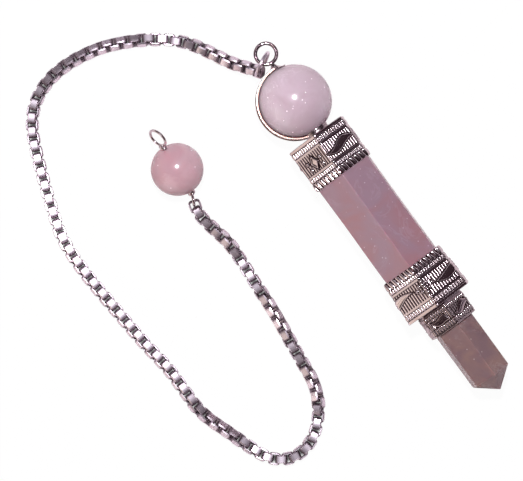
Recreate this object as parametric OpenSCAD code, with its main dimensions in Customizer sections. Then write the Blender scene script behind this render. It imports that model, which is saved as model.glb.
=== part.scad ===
/* [Ball] */
// Diameter of the quartz ball under the eye
ball_d = 14; // [10:0.5:18]
// How far the ball sits off the pendulum's axis
ball_offset = 0.5; // [0:0.1:1]
// Gap between a stone and the metal that holds it
stone_gap = 0.05; // [0.03:0.01:0.12]

/* [Main crystal] */
// Width of the main crystal across its flats
crystal_af = 11.3; // [9:0.05:14]
// Length of the main crystal that shows between its two caps
crystal_shown = 21.5; // [12:0.1:40]
// Turn of the main crystal, from one edge facing straight up
crystal_turn = 5; // [0:1:25]

/* [Tip crystal] */
// Width of the tip crystal across its flats
tip_af = 7.5; // [5:0.05:9]
// Length of the tip crystal that shows, up to its shoulders
tip_shown = 11.7; // [6:0.1:20]
// Height of the six-faced point
tip_point = 3.2; // [1.5:0.1:8]
// Turn of the tip crystal, from one edge facing straight up
tip_turn = -8; // [-25:1:25]
// How far the tip crystal and its band sit off the pendulum's axis
tip_offset = 0.2; // [0:0.05:0.6]

/* [Caps] */
// Height of the round seat between the ball and the upper cap
seat_h = 0.4; // [0.3:0.05:1]
// Diameter of the round seat
seat_d = 5; // [4:0.5:9]
// Height of the upper cap, plate included
upper_h = 8.95; // [7:0.1:14]
// Wall of the upper cap under its relief
upper_wall = 0.18; // [0.15:0.01:0.8]
// Height of the middle band of the lower cap
middle_h = 8.9; // [7:0.1:14]
// Wall of the middle band at its rope edge, under its relief
middle_wall = 0.45; // [0.3:0.05:1.4]
// How far each face of the middle band flares out towards the tip
middle_flare = 0.5; // [0:0.05:0.8]
// Height of the narrow band that holds the tip crystal
narrow_h = 4.6; // [3.5:0.1:9]
// Wall of the narrow band under its relief
narrow_wall = 0.7; // [0.3:0.05:1]
// Thickness of the plates that close the caps
plate_t = 0.7; // [0.5:0.05:1.2]
// Height of the plain step between the two bands of the lower cap
step_h = 0.4; // [0.2:0.05:1]

/* [Relief] */
// Width of one rib of the ribbed rows
rib_pitch = 0.58; // [0.4:0.02:1]
// How far the ribs and rims stand out of the wall
rib_relief = 0.15; // [0.08:0.01:0.25]
// How far the leaves, diamonds and buds stand out of the wall
leaf_relief = 0.3; // [0.2:0.02:0.4]
// How far the lobes of the rope edge stand out of the wall
rope_relief = 0.24; // [0.15:0.01:0.4]
// Spacing of the lobes along the rope edge
rope_pitch = 1.08; // [0.6:0.02:1.4]
// Length of a leaf
leaf_l = 7.2; // [5:0.1:9]
// Width of a leaf
leaf_w = 1.7; // [1:0.1:2.2]
// Diameter of a bud
bud_d = 0.7; // [0.4:0.05:1]

/* [Strap and eye] */
// Thickness of the strap round the ball
strap_t = 0.25; // [0.25:0.05:0.6]
// Width of the strap
strap_w = 3; // [2:0.1:4]
// Diameter of the wire along each edge of the strap
strap_edge = 0.26; // [0.25:0.05:0.5]
// Turn of the strap round the ball, upwards from its side
strap_turn = 4; // [0:1:40]
// Outer diameter of the eye above the ball
eye_od = 4.7; // [4:0.1:7]
// Wire of the eye
eye_wire = 0.7; // [0.5:0.05:1]
// Height of the flared foot between the ball and the eye
foot_h = 1.45; // [0.9:0.05:2]
// Diameter of the flared foot on the ball
foot_d = 4; // [3:0.1:6]
// Sideways lean of the eye and strap round the ball
eye_lean = 4.7; // [0:0.1:10]

/* [Jump ring] */
// Outer diameter of the jump ring
jump_od = 5.45; // [5:0.05:7]
// Wire of the jump ring
jump_wire = 0.65; // [0.5:0.05:0.8]

/* [Chain] */
// Number of links in the box chain
link_count = 149; // [141:2:155]
// Width of a link across its two rails
link_w = 2.35; // [2.2:0.05:2.6]
// Width of the strip that a link is bent from
link_strip = 1.1; // [0.9:0.02:1.14]
// Thickness of the strip
link_t = 0.33; // [0.25:0.01:0.35]
// Play between two links that hang in each other
link_play = 0.25; // [0.22:0.01:0.3]

/* [Bead] */
// Diameter of the small bead
bead_d = 10; // [8:0.5:12]
// Bore through the bead
bead_bore = 0.9; // [0.8:0.05:1.6]
// Wire of the pin through the bead
pin_wire = 0.5; // [0.4:0.05:0.55]
// Outer diameter of the free eye at the end of the pin
pin_eye_od = 4.1; // [3.4:0.1:6]
// Outer diameter of the small eye that holds the chain
pin_foot_od = 2.5; // [2.45:0.05:2.6]
// Turns of wire wrapped below each eye
pin_wraps = 2; // [1:1:3]

/* [Hidden] */
$fn = 64;

// Route of the chain from the bead to the jump ring, points chosen by hand:
// x, y, lift off the surface, roll of the chain about its own line
ROUTE = [
    [-13.6, 9.2, 0.95, 0],
    [-13.1, 7.7, 0.62, 4],
    [-12, 6, 0.27, 10],
    [-10, 4, 0.05, 20],
    [-6.8, 1, 0, 28],
    [-4.2, -2.7, 0, 5],
    [-1.4, -7.2, 0, 10],
    [1.2, -11.2, 0, 40],
    [3.3, -14.8, 0, 40],
    [5.3, -18.4, 0, 12],
    [7.3, -21.9, 0, 20],
    [8.8, -24.5, 0, 40],
    [9.7, -26.8, 0, 45],
    [10.2, -29.2, 0, 30],
    [10.2, -31.8, 0, 10],
    [9.7, -34.5, 0, 0],
    [8.6, -36.9, 0, -5],
    [6.9, -38.8, 0, -5],
    [4.8, -39.9, 0, -5],
    [2.4, -40.1, 0, 0],
    [0, -39.5, 0, 5],
    [-3.3, -37.5, 0, 20],
    [-6.9, -35, 0, 42],
    [-10.4, -32.6, 0, 42],
    [-12.9, -30.3, 0, 25],
    [-15.3, -27.1, 0, 15],
    [-18.4, -22.9, 0, 15],
    [-22.9, -18.1, 0, 15],
    [-28.4, -11.7, 0, 15],
    [-34.2, -4.7, 0, 14],
    [-38.4, 1.7, 0, 8],
    [-40.7, 8.1, 0, 3],
    [-42.4, 14.1, 0, 0],
    [-43.7, 19.3, 0, -3],
    [-44.3, 23.3, 0, -5],
    [-44, 26.6, 0, -8],
    [-42.9, 29.5, 0, -15],
    [-41, 32.2, 0, -22],
    [-38.3, 34.6, 0, -28],
    [-35, 36.6, 0, -32],
    [-31, 38.3, 0, -38],
    [-26.6, 39.3, 0, -38],
    [-21.9, 39.8, 0, -15],
    [-17.4, 39.7, 0, 5],
    [-13.4, 38.7, 0, 25],
    [-9.7, 37, 0.1, 34],
    [-6.2, 35.3, 0.6, 36],
    [-3, 34.3, 1.45, 36],
    [-0.4, 33.4, 2.4, 36]
];

// Rows of the cast strip from its plain rim to its rope edge:
// share of the strip's height, how far it stands out as a share of the ribs, ribbed or not
STRIP = [
    [0.07, 1, false],
    [0.13, 1, true],
    [0.05, 0.6, false],
    [0.42, 0.6, true],
    [0.05, 0.6, false],
    [0.1, 1, true],
    [0.18, 0.3, false]
];
// The row that carries the leaves and buds
FIELD_ROW = 3;
// Rows of the narrow strip round the tip crystal, in the same columns
NARROW_STRIP = [
    [0.08, 0.4, false],
    [0.17, 1, true],
    [0.42, 0.4, false],
    [0.25, 1, true],
    [0.08, 0.4, false]
];

// Motifs along the strip of each band: place along the strip in face widths, with 0 at the
// edge that faces up; height as a share of the band; kind; tilt; length as a share of leaf_l
UPPER_MOTIFS = [
    [0.47, 0.53, "leaf", 4, 1],
    [-0.5, 0.53, "diamond", 0, 1],
    [2.47, 0.53, "leaf", 4, 1],
    [1.5, 0.53, "diamond", 0, 1],
    [-1.53, 0.53, "leaf", 4, 1],
    [-2.5, 0.53, "diamond", 0, 1]
];
MIDDLE_MOTIFS = [
    [1, 0.52, "leaf", 5, 1.3],
    [0, 0.51, "flower", 0, 1],
    [-1, 0.52, "leaf", 5, 1.3],
    [2, 0.51, "flower", 0, 1],
    [3, 0.52, "leaf", 5, 1.3],
    [-2, 0.51, "flower", 0, 1]
];
NARROW_MOTIFS = [
    [0.55, 0.5, "leaf", 6, 0.66],
    [-0.5, 0.5, "leaf", -20, 0.6],
    [2.55, 0.5, "leaf", 6, 0.66],
    [1.5, 0.5, "leaf", -20, 0.6],
    [-1.45, 0.5, "leaf", 6, 0.66],
    [-2.5, 0.5, "leaf", -20, 0.6]
];
// Buds round a diamond and in a flower: place from the middle in bud diameters
DIAMOND_BUDS = [[-2.3, 0.6], [2.3, 0.5], [-2.1, -1.4], [2.1, -1.5]];
FLOWER_BUDS = [[0.06, 0], [1.25, 0.9], [-1.25, 0.9], [1.3, -0.8], [-1.3, -0.8], [-0.05, 1.7],
    [0.05, -1.7], [2.7, 0.1], [-2.7, 0.1]];
DIAMOND_W = 1.7;
DIAMOND_H = 2.6;
LEAF_SWAY = 0.4;
LEAF_STEPS = 12;
LOBE_SHARE = 0.62;
LOBE_SLANT = 0.22;

// Where the pendulum lies: the point under the ball end of its axis, and its heading
AXIS_START = [5.27, 27.51];
AXIS_HEADING = -53.9;
// Where the jump ring stands, the heading of its plane and its lean
JUMP_AT = [-0.5, 34.9];
JUMP_HEADING = -117;
JUMP_LEAN = 6;
// Where the bead lies, the heading of its pin and the drop of the pin towards the chain
BEAD_AT = [-16.6, 15];
PIN_HEADING = -58.6;
PIN_DROP = 26;
PIN_EYE_TURN = 58;
PIN_FOOT_HEADING = -80;
// Gap between the bead and its wraps, and the swell that joins one wrap to the next
WRAP_GAP = 0.05;
WRAP_SWELL = 1.04;
// Height of the jump ring above the eye, and how far the first link hangs off its eye's middle
HANG_GAP = 0.1;
BAR_HANG = 0.22;
SINK = 0.08;
STRAP_START = 5;
CORNER_ROUND = 0.8;

rope_share = STRIP[len(STRIP) - 1][0];
ball_r = ball_d / 2;
bead_r = bead_d / 2;
upper_af = crystal_af + 2 * (stone_gap + upper_wall);
middle_af = crystal_af + 2 * (stone_gap + middle_wall);
narrow_af = tip_af + 2 * (stone_gap + narrow_wall);

// Places along the pendulum's axis, from the middle of the ball towards the tip
upper_z = ball_r + stone_gap + seat_h;
upper_end = upper_z + upper_h;
middle_z = upper_end + crystal_shown;
middle_end = middle_z + middle_h;
narrow_z = middle_end + step_h;
narrow_end = narrow_z + narrow_h;
shoulder_z = narrow_end + tip_shown;

// The pendulum rests on its ball and on the lower edge of its middle band
low_af = row_af(middle_af, STRIP, 0, middle_flare) + 2 * rib_relief;
middle_low = corner_r(low_af) * cos(crystal_turn);
lean = asin((middle_low - ball_r) / middle_end);

eye_r = (eye_od - eye_wire) / 2;
eye_z = ball_r + stone_gap + foot_h + eye_r;
eye_height = ball_r - eye_z * sin(lean);
jump_r = (jump_od - jump_wire) / 2;
jump_height = eye_height + (eye_wire + jump_wire) / 2 + HANG_GAP - jump_r;

pin_eye_r = (pin_eye_od - pin_wire) / 2;
pin_foot_r = (pin_foot_od - pin_wire) / 2;
wrap_r = pin_wire;
wrap_z = bead_r + WRAP_GAP + pin_wire / 2;
pin_eye_z = wrap_z + (pin_wraps - 1) * pin_wire + pin_eye_r;

// Corner radius of a hexagon from its width across the flats
function corner_r(af) = af / 2 / cos(30);

// Point on a circle
function polar(r, a) = [r * cos(a), r * sin(a)];

// Sum of a list up to and including place i
function sum_to(list, i) = i < 0 ? 0 : list[i] + sum_to(list, i - 1);

// Height of the chain's line above the surface when it lies there with this roll
function lying(roll) = max(
    link_w / 2 * abs(cos(roll)) + link_strip / 2 * abs(sin(roll)),
    link_w / 2 * abs(sin(roll)) + link_strip / 2 * abs(cos(roll)));

// A smooth curve through points, cut into short steps
CURVE_STEPS = 8;
function bend(a, b, c, d, t) = 0.5 * (2 * b + (c - a) * t
    + (2 * a - 5 * b + 4 * c - d) * t * t + (3 * b - a - 3 * c + d) * t * t * t);
function at(list, i) = list[min(max(i, 0), len(list) - 1)];
function place(p) = [p[0], p[1], max(p[2], 0) + lying(p[3])];
fine = [
    for (i = [0:len(ROUTE) - 2])
        for (k = [0:CURVE_STEPS - 1])
            bend(at(ROUTE, i - 1), at(ROUTE, i), at(ROUTE, i + 1), at(ROUTE, i + 2),
                k / CURVE_STEPS),
    ROUTE[len(ROUTE) - 1]
];
steps = [for (i = [1:len(fine) - 1]) norm(place(fine[i]) - place(fine[i - 1]))];
along = [for (i = 0, s = 0; i < len(fine); s = s + (i < len(steps) ? steps[i] : 0), i = i + 1) s];
route_l = along[len(along) - 1];
by_x = [for (i = [0:len(fine) - 1]) [along[i], fine[i][0]]];
by_y = [for (i = [0:len(fine) - 1]) [along[i], fine[i][1]]];
by_z = [for (i = [0:len(fine) - 1]) [along[i], place(fine[i])[2]]];
by_roll = [for (i = [0:len(fine) - 1]) [along[i], fine[i][3]]];
function chain_at(s) = [lookup(s, by_x), lookup(s, by_y), lookup(s, by_z)];

// The links share out the route, from the first one's end bar to the last one's
link_pitch = (route_l - BAR_HANG - link_t - link_play) / link_count;
link_l = link_pitch + 2 * link_t + link_play;
first_joint = BAR_HANG + (link_t + link_play) / 2;

module along_axis() {
    translate([AXIS_START[0], AXIS_START[1], ball_r])
        rotate([0, 90 - lean, AXIS_HEADING])
            children();
}

// Torus round the z axis
module wire_ring(r, wire) {
    rotate_extrude()
        translate([r, 0])
            circle(d = wire);
}

// Straight wire with round ends between two points
module rod(a, b, wire) {
    way = b - a;
    translate(a)
        rotate([0, acos(way[2] / norm(way)), atan2(way[1], way[0])])
            cylinder(d = wire, h = norm(way));
    translate(b)
        sphere(d = wire);
}

// Hexagon with an edge towards -x, with V-shaped ribs on its sides if asked
function hex_outline(af, relief, ribs) = [
    for (side = [0:5])
        for (i = [0:2 * ribs - 1])
            let (
                a = polar(corner_r(af), 60 * side),
                b = polar(corner_r(af), 60 * side + 60),
                out = i % 2 == 1 ? relief : 0
            )
            a + (b - a) * i / (2 * ribs) + polar(out, 60 * side + 30)
];

module hex_prism(af, h) {
    linear_extrude(h)
        polygon([for (side = [0:5]) polar(corner_r(af), 60 * side)]);
}

// Width across the flats of row i of a flared band, before its relief
function row_af(af, rows, i, flare) = let (shares = [for (row = rows) row[0]])
    af + 2 * flare * (1 - sum_to(shares, i - 1) - shares[i] / 2);

// Wall of a band: its rows stacked one on the other, from the plain rim at z = 0
module band_rows(af, h, rows, flare = 0) {
    ribs = round(corner_r(af) / rib_pitch);
    shares = [for (row = rows) row[0]];
    for (i = [0:len(rows) - 1]) {
        relief = rib_relief * rows[i][1];
        wide = row_af(af, rows, i, flare);
        translate([0, 0, h * sum_to(shares, i - 1)])
            if (rows[i][2])
                linear_extrude(h * rows[i][0])
                    polygon(hex_outline(wide, relief, ribs));
            else
                hex_prism(wide + 2 * relief, h * rows[i][0]);
    }
}

// Leaf bent in a slow S, thicker towards its right end
module leaf(l, w) {
    upper = [for (i = [0:LEAF_STEPS]) leaf_point(i / LEAF_STEPS, l, w, 1)];
    lower = [for (i = [LEAF_STEPS - 1:-1:1]) leaf_point(i / LEAF_STEPS, l, w, -1)];
    polygon(concat(upper, lower));
}

function leaf_point(t, l, w, edge) = [
    (t - 0.5) * l,
    edge * w / 2 * sin(180 * pow(t, 1.25)) - LEAF_SWAY * sin(360 * t)
];

module diamond() {
    polygon([[DIAMOND_W / 2, 0], [0, DIAMOND_H / 2], [-DIAMOND_W / 2, 0], [0, -DIAMOND_H / 2]]);
}

module buds(places) {
    for (p = places)
        translate(p * bud_d)
            circle(d = bud_d);
}

module motif(kind, size) {
    if (kind == "leaf")
        leaf(leaf_l * size, leaf_w);
    if (kind == "diamond") {
        diamond();
        buds(DIAMOND_BUDS);
    }
    if (kind == "flower")
        buds(FLOWER_BUDS);
}

// Slanted lobes of the rope edge on one face, with the edge at y = 0
module rope_lobes(face_w, h) {
    count = round(face_w / rope_pitch);
    pitch = face_w / count;
    w = pitch * LOBE_SHARE;
    for (i = [0:count - 1])
        translate([pitch * (i + 0.5), 0])
            polygon([[w / 2 + LOBE_SLANT, 0], [w / 2 - LOBE_SLANT, h],
                [-w / 2 - LOBE_SLANT, h], [-w / 2 + LOBE_SLANT, 0]]);
}

// Puts a flat drawing on face number side of a hexagon, x to the right and y towards the ball
module on_face(side, af, z, relief) {
    rotate([0, 0, 60 - 60 * side])
        translate([-corner_r(af) / 2, af / 2 - SINK, z])
            rotate([-90, 0, 0])
                linear_extrude(SINK + relief)
                    children();
}

// Leaves, diamonds and buds raised on a band's six faces; they wrap round its edges
module band_motifs(af, h, motifs, base_z) {
    face_w = corner_r(af);
    for (side = [0:5])
        on_face(side, af, base_z, leaf_relief)
            intersection() {
                square([face_w, h]);
                for (m = motifs)
                    for (lap = [-6, 0, 6])
                        if (abs(m[0] + lap - side - 0.5) < 1.5)
                            translate([(m[0] + lap - side) * face_w, m[1] * h])
                                rotate(m[3])
                                    motif(m[2], m[4]);
            }
}

module band_rope(af, h, base_z) {
    for (side = [0:5])
        on_face(side, af, base_z, rope_relief)
            rope_lobes(corner_r(af), h);
}

// Half a turn round the x axis: a band keeps an edge upwards and swaps its ends
module upside_down(h) {
    translate([0, 0, h])
        rotate([180, 0, 0])
            children();
}

// Strap, foot and eye, all built round the middle of the ball
module ball_hanger() {
    rotate([0, 0, 180 - strap_turn])
        rotate([0, -90, 0])
            rotate([0, 0, STRAP_START]) {
                rotate_extrude(angle = 180 - STRAP_START)
                    translate([ball_r + stone_gap, -strap_w / 2])
                        square([strap_t, strap_w]);
                for (side = [-1, 1])
                    rotate_extrude(angle = 180 - STRAP_START)
                        translate([ball_r + stone_gap + strap_t, side * (strap_w - strap_edge) / 2])
                            circle(d = strap_edge);
            }
    difference() {
        translate([0, 0, -ball_r - stone_gap - foot_h - eye_wire / 2])
            foot();
        sphere(ball_r + stone_gap);
    }
    translate([0, 0, -eye_z])
        rotate([0, 90, 0])
            wire_ring(eye_r, eye_wire);
}

// Flared foot, narrow at the eye and wide on the ball
module foot() {
    neck_r = eye_wire / 2;
    flare = foot_d / 2 - neck_r;
    drop = foot_h + eye_wire / 2;
    rotate_extrude()
        difference() {
            square([foot_d / 2, drop + ball_r - sqrt(pow(ball_r, 2) - pow(foot_d / 2, 2))]);
            translate([foot_d / 2, drop - strap_t - flare])
                circle(r = flare);
            translate([neck_r, 0])
                square([flare, drop - strap_t - flare]);
        }
}

module ball() {
    color([0.83, 0.74, 0.79])
        along_axis()
            translate([0, ball_offset, 0])
                sphere(d = ball_d);
}

module upper_cap() {
    color([0.72, 0.70, 0.69])
        along_axis() {
            rotate([0, 0, crystal_turn])
                difference() {
                    union() {
                        translate([0, 0, upper_z])
                            band_rows(upper_af, upper_h, STRIP);
                        band_motifs(upper_af, upper_h, UPPER_MOTIFS, upper_end);
                        band_rope(upper_af, upper_h * rope_share, upper_end);
                    }
                    translate([0, 0, upper_z + plate_t])
                        hex_prism(crystal_af + 2 * stone_gap, upper_h);
                }
            translate([0, ball_offset, 0])
                rotate([eye_lean, 0, 0])
                    ball_hanger();
            ball_seat();
        }
}

// Round seat under the ball, dished to the ball
module ball_seat() {
    difference() {
        translate([0, ball_offset, ball_r - seat_h])
            cylinder(d = seat_d, h = 2 * seat_h + stone_gap + SINK);
        translate([0, ball_offset, 0])
            sphere(ball_r + stone_gap);
    }
}

module jump_ring() {
    color([0.78, 0.76, 0.74])
        translate([JUMP_AT[0], JUMP_AT[1], jump_height])
            rotate([90 + JUMP_LEAN, 0, JUMP_HEADING])
                wire_ring(jump_r, jump_wire);
}

module main_crystal() {
    from = upper_z + plate_t + stone_gap;
    color([0.66, 0.52, 0.56])
        along_axis()
            rotate([0, 0, crystal_turn])
                translate([0, 0, from])
                    hex_prism(crystal_af, middle_end - plate_t - stone_gap - from);
}

// The narrow band and the tip crystal share this axis, a little off the pendulum's own
module tip_axis() {
    translate([0, -tip_offset, 0])
        rotate([0, 0, tip_turn])
            children();
}

module middle_band() {
    field_af = row_af(middle_af, STRIP, FIELD_ROW, middle_flare);
    translate([0, 0, middle_z])
        upside_down(middle_h) {
            band_rows(middle_af, middle_h, STRIP, middle_flare);
            band_motifs(field_af, middle_h, MIDDLE_MOTIFS, middle_h);
            band_rope(middle_af, middle_h * rope_share, middle_h);
        }
}

module narrow_band() {
    translate([0, 0, middle_end - SINK])
        hex_prism(narrow_af, step_h + 2 * SINK);
    translate([0, 0, narrow_z])
        band_rows(narrow_af, narrow_h, NARROW_STRIP);
    band_motifs(narrow_af, narrow_h, NARROW_MOTIFS, narrow_end);
}

module lower_cap() {
    color([0.68, 0.65, 0.64])
        along_axis()
            difference() {
                union() {
                    rotate([0, 0, crystal_turn])
                        middle_band();
                    tip_axis()
                        narrow_band();
                }
                rotate([0, 0, crystal_turn])
                    translate([0, 0, middle_z - rope_relief])
                        hex_prism(crystal_af + 2 * stone_gap, middle_h + rope_relief - plate_t);
                tip_axis()
                    translate([0, 0, narrow_z])
                        hex_prism(tip_af + 2 * stone_gap, narrow_h + step_h);
            }
}

module tip_crystal() {
    from = narrow_z + stone_gap;
    edge = corner_r(tip_af);
    points = concat(
        [for (side = [0:5]) concat(polar(edge, 60 * side), from)],
        [for (side = [0:5]) concat(polar(edge, 60 * side), shoulder_z)],
        [[0, 0, shoulder_z + tip_point]]
    );
    faces = concat(
        [[0, 1, 2, 3, 4, 5]],
        [for (side = [0:5]) let (next = (side + 1) % 6) [side, side + 6, next + 6, next]],
        [for (side = [0:5]) [side + 6, 12, (side + 1) % 6 + 6]]
    );
    color([0.60, 0.54, 0.54])
        along_axis()
            tip_axis()
                polyhedron(points, faces);
}

// One link: a strip bent to a ring with rounded outer corners
module link() {
    linear_extrude(link_strip, center = true)
        difference() {
            intersection() {
                square([link_l, link_w], center = true);
                circle(r = CORNER_ROUND * norm([link_l, link_w]) / 2);
            }
            square([link_l - 2 * link_t, link_w - 2 * link_t], center = true);
        }
}

module chain() {
    color([0.74, 0.72, 0.72])
        for (i = [0:link_count - 1]) {
            s = first_joint + i * link_pitch;
            a = chain_at(s);
            b = chain_at(s + link_pitch);
            way = b - a;
            roll = lookup(s + link_pitch / 2, by_roll) + 90 * (i % 2);
            translate((a + b) / 2)
                rotate([roll, -asin(way[2] / norm(way)), atan2(way[1], way[0])])
                    link();
        }
}

module at_bead() {
    translate([BEAD_AT[0], BEAD_AT[1], bead_r])
        rotate([0, 90 + PIN_DROP, PIN_HEADING])
            children();
}

module bead() {
    color([0.80, 0.64, 0.68])
        at_bead()
            difference() {
                sphere(d = bead_d);
                cylinder(d = bead_bore, h = 2 * bead_d, center = true);
            }
}

module bead_pin() {
    bend_z = bead_r + pin_wraps * pin_wire + WRAP_GAP;
    across = cos(PIN_DROP) * bend_z;
    bend_at = [BEAD_AT[0] + across * cos(PIN_HEADING), BEAD_AT[1] + across * sin(PIN_HEADING),
        bead_r - bend_z * sin(PIN_DROP)];
    foot_at = place(ROUTE[0]);
    way = foot_at - bend_at;
    color([0.62, 0.56, 0.56]) {
        at_bead() {
            translate([0, 0, -pin_eye_z + pin_eye_r])
                cylinder(d = pin_wire, h = pin_eye_z - pin_eye_r + bend_z);
            for (end = [-1, 1], turn = [0:pin_wraps - 1])
                translate([0, 0, end * (wrap_z + turn * pin_wire)])
                    wire_ring(wrap_r, pin_wire * WRAP_SWELL);
            translate([0, 0, -pin_eye_z])
                rotate([0, 90, PIN_EYE_TURN])
                    wire_ring(pin_eye_r, pin_wire);
        }
        rod(bend_at, foot_at - way / norm(way) * pin_foot_r, pin_wire);
        translate(foot_at)
            rotate([90, 0, PIN_FOOT_HEADING])
                wire_ring(pin_foot_r, pin_wire);
    }
}

ball();
upper_cap();
jump_ring();
main_crystal();
lower_cap();
tip_crystal();
chain();
bead();
bead_pin();
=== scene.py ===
import math
import bpy
import numpy as np
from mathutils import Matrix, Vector


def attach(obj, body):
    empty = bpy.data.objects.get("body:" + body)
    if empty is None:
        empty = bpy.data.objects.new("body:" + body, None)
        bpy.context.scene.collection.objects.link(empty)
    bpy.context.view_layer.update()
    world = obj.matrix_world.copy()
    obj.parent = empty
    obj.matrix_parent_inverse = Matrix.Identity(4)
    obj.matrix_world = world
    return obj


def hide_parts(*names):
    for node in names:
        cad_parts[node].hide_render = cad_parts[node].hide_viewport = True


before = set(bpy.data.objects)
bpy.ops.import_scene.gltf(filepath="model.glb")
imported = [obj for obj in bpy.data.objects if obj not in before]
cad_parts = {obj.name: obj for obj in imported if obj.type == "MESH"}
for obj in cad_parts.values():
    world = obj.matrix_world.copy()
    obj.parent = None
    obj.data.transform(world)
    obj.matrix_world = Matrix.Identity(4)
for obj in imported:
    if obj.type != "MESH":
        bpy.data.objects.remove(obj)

scene = bpy.context.scene
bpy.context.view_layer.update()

# everything below is worked out in millimetres and put into the meshes in metres
metresPerMm = 0.001

# how the pendulum lies: z runs from the middle of the ball to the point, -x is up; the low
# corner is that of the widest band, by its distance from the axis and its place along it
pendulum = {"start": (5.27, 27.51), "heading": -53.9, "ballRadius": 7.0, "ballOffset": 0.5,
            "stoneGap": 0.05, "crystalTurn": 5.0, "tipTurn": -8.0, "tipOffset": 0.2,
            "lowCorner": 7.766, "lowCornerAt": 46.8}
pendulum["lean"] = math.degrees(math.asin(
    (pendulum["lowCorner"] - pendulum["ballRadius"]) / pendulum["lowCornerAt"]))


def turn(axis, degrees):
    # matrix of a turn about the x, y or z axis
    c, s = math.cos(math.radians(degrees)), math.sin(math.radians(degrees))
    rows = {
        "x": ((1, 0, 0), (0, c, -s), (0, s, c)),
        "y": ((c, 0, s), (0, 1, 0), (-s, 0, c)),
        "z": ((c, -s, 0), (s, c, 0), (0, 0, 1)),
    }
    return np.array(rows[axis])


def onAxis(points):
    # from the pendulum's own axis to the surface that it lies on
    way = turn("z", pendulum["heading"]) @ turn("y", 90 - pendulum["lean"])
    start = (*pendulum["start"], pendulum["ballRadius"])
    return points @ way.T + np.array(start)


def unit(ways):
    return ways / np.linalg.norm(ways, axis=1, keepdims=True)


def smoothStep(low, high, value):
    # 0 below low, 1 above high and 3 t^2 - 2 t^3 between them
    share = np.clip((value - low) / (high - low), 0, 1)
    return share * share * (3 - 2 * share)


def ripple(points, size, seed):
    # slow unevenness between -1 and 1: three crossed sines of the place
    phase = np.array([1.7, 4.1, 2.6]) * seed
    p = points / size
    a = np.sin(p[..., 0] * 1.3 + p[..., 1] * 0.7 + phase[0])
    b = np.sin(p[..., 1] * 1.1 - p[..., 2] * 0.9 + phase[1])
    c = np.sin(p[..., 2] * 1.2 + p[..., 0] * 0.6 + phase[2])
    return (a + b + c) / 3


def closedSurface(points, ring=False, recess=None):
    # rows of closed loops joined by quads; each end is closed by a fan to its middle, or
    # the last row joins the first in a ring; faces are turned outwards by the signed volume
    rows, cols = points.shape[:2]
    index = np.arange(rows * cols).reshape(rows, cols)
    over = np.roll(index, -1, axis=1)
    if ring:
        low, high = index, np.roll(index, -1, axis=0)
        lowOver, highOver = over, np.roll(over, -1, axis=0)
    else:
        low, high, lowOver, highOver = index[:-1], index[1:], over[:-1], over[1:]
    quads = np.stack((low, lowOver, highOver, high), axis=-1).reshape(-1, 4)
    verts = points.reshape(-1, 3)
    values = np.zeros(rows * cols) if recess is None else recess.reshape(-1)
    tris = np.zeros((0, 3), int)
    if not ring:
        ends = np.stack((points[0].mean(axis=0), points[-1].mean(axis=0)))
        verts = np.concatenate((verts, ends))
        values = np.concatenate((values, (values[0], values[-1])))
        first, last = np.full(cols, rows * cols), np.full(cols, rows * cols + 1)
        tris = np.concatenate((
            np.stack((over[0], index[0], first), axis=-1),
            np.stack((index[-1], over[-1], last), axis=-1)))
    corners = verts[np.concatenate((quads[:, (0, 1, 2)], quads[:, (0, 2, 3)], tris))]
    volume = np.einsum("ij,ij->i", corners[:, 0], np.cross(corners[:, 1], corners[:, 2])).sum()
    if volume < 0:
        quads, tris = quads[:, ::-1], tris[:, ::-1]
    return {"verts": verts, "quads": quads, "tris": tris, "recess": values}


def makePiece(name, parts, material, nodes, crease=35):
    # the parts become one mesh; edges sharper than the crease angle stay sharp
    offsets = np.cumsum([0] + [len(p["verts"]) for p in parts])
    verts = np.concatenate([p["verts"] for p in parts]) * metresPerMm
    quads = np.concatenate([p["quads"] + o for p, o in zip(parts, offsets)])
    tris = np.concatenate([p["tris"] + o for p, o in zip(parts, offsets)])
    sizes = np.concatenate((np.full(len(quads), 4), np.full(len(tris), 3)))
    mesh = bpy.data.meshes.new(name)
    mesh.vertices.add(len(verts))
    mesh.vertices.foreach_set("co", verts.astype(np.float32).reshape(-1))
    mesh.loops.add(int(sizes.sum()))
    corners = np.concatenate((quads.reshape(-1), tris.reshape(-1)))
    mesh.loops.foreach_set("vertex_index", corners.astype(np.int32))
    mesh.polygons.add(len(sizes))
    starts = np.concatenate(((0,), np.cumsum(sizes)[:-1]))
    mesh.polygons.foreach_set("loop_start", starts.astype(np.int32))
    mesh.polygons.foreach_set("use_smooth", np.ones(len(sizes), bool))
    mesh.update(calc_edges=True)
    mesh.validate()
    values = mesh.attributes.new("recess", "FLOAT", "POINT")
    values.data.foreach_set("value", np.concatenate([p["recess"] for p in parts]).astype(np.float32))
    mesh.set_sharp_from_angle(angle=math.radians(crease))
    piece = bpy.data.objects.new(name, mesh)
    scene.collection.objects.link(piece)
    mesh.materials.append(material)
    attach(piece, "root")
    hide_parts(*nodes)
    print("made", name, "with", len(quads) * 2 + len(tris), "triangles")


# round wire: sides of its section, steps of a half-round end and of the length between
wireForm = {"sides": 16, "endSteps": 5, "lengthSteps": 24, "seamWidth": 0.035, "unround": 0.015}


def wireAlong(path, radius, sideways, ring=False):
    # circles at right angles to the path: the first spoke is the way of the path crossed with
    # sideways, the other is the way crossed with that spoke
    way = np.gradient(path, axis=0)
    if ring:
        way = np.roll(path, -1, axis=0) - np.roll(path, 1, axis=0)
    way = unit(way)
    spoke = unit(np.cross(way, sideways))
    other = np.cross(way, spoke)
    angle = np.linspace(0, 2 * np.pi, wireForm["sides"], endpoint=False)[None, :, None]
    thick = np.broadcast_to(np.asarray(radius, float), (len(path),))[:, None, None]
    return path[:, None] + thick * (np.cos(angle) * spoke[:, None] + np.sin(angle) * other[:, None])


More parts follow.
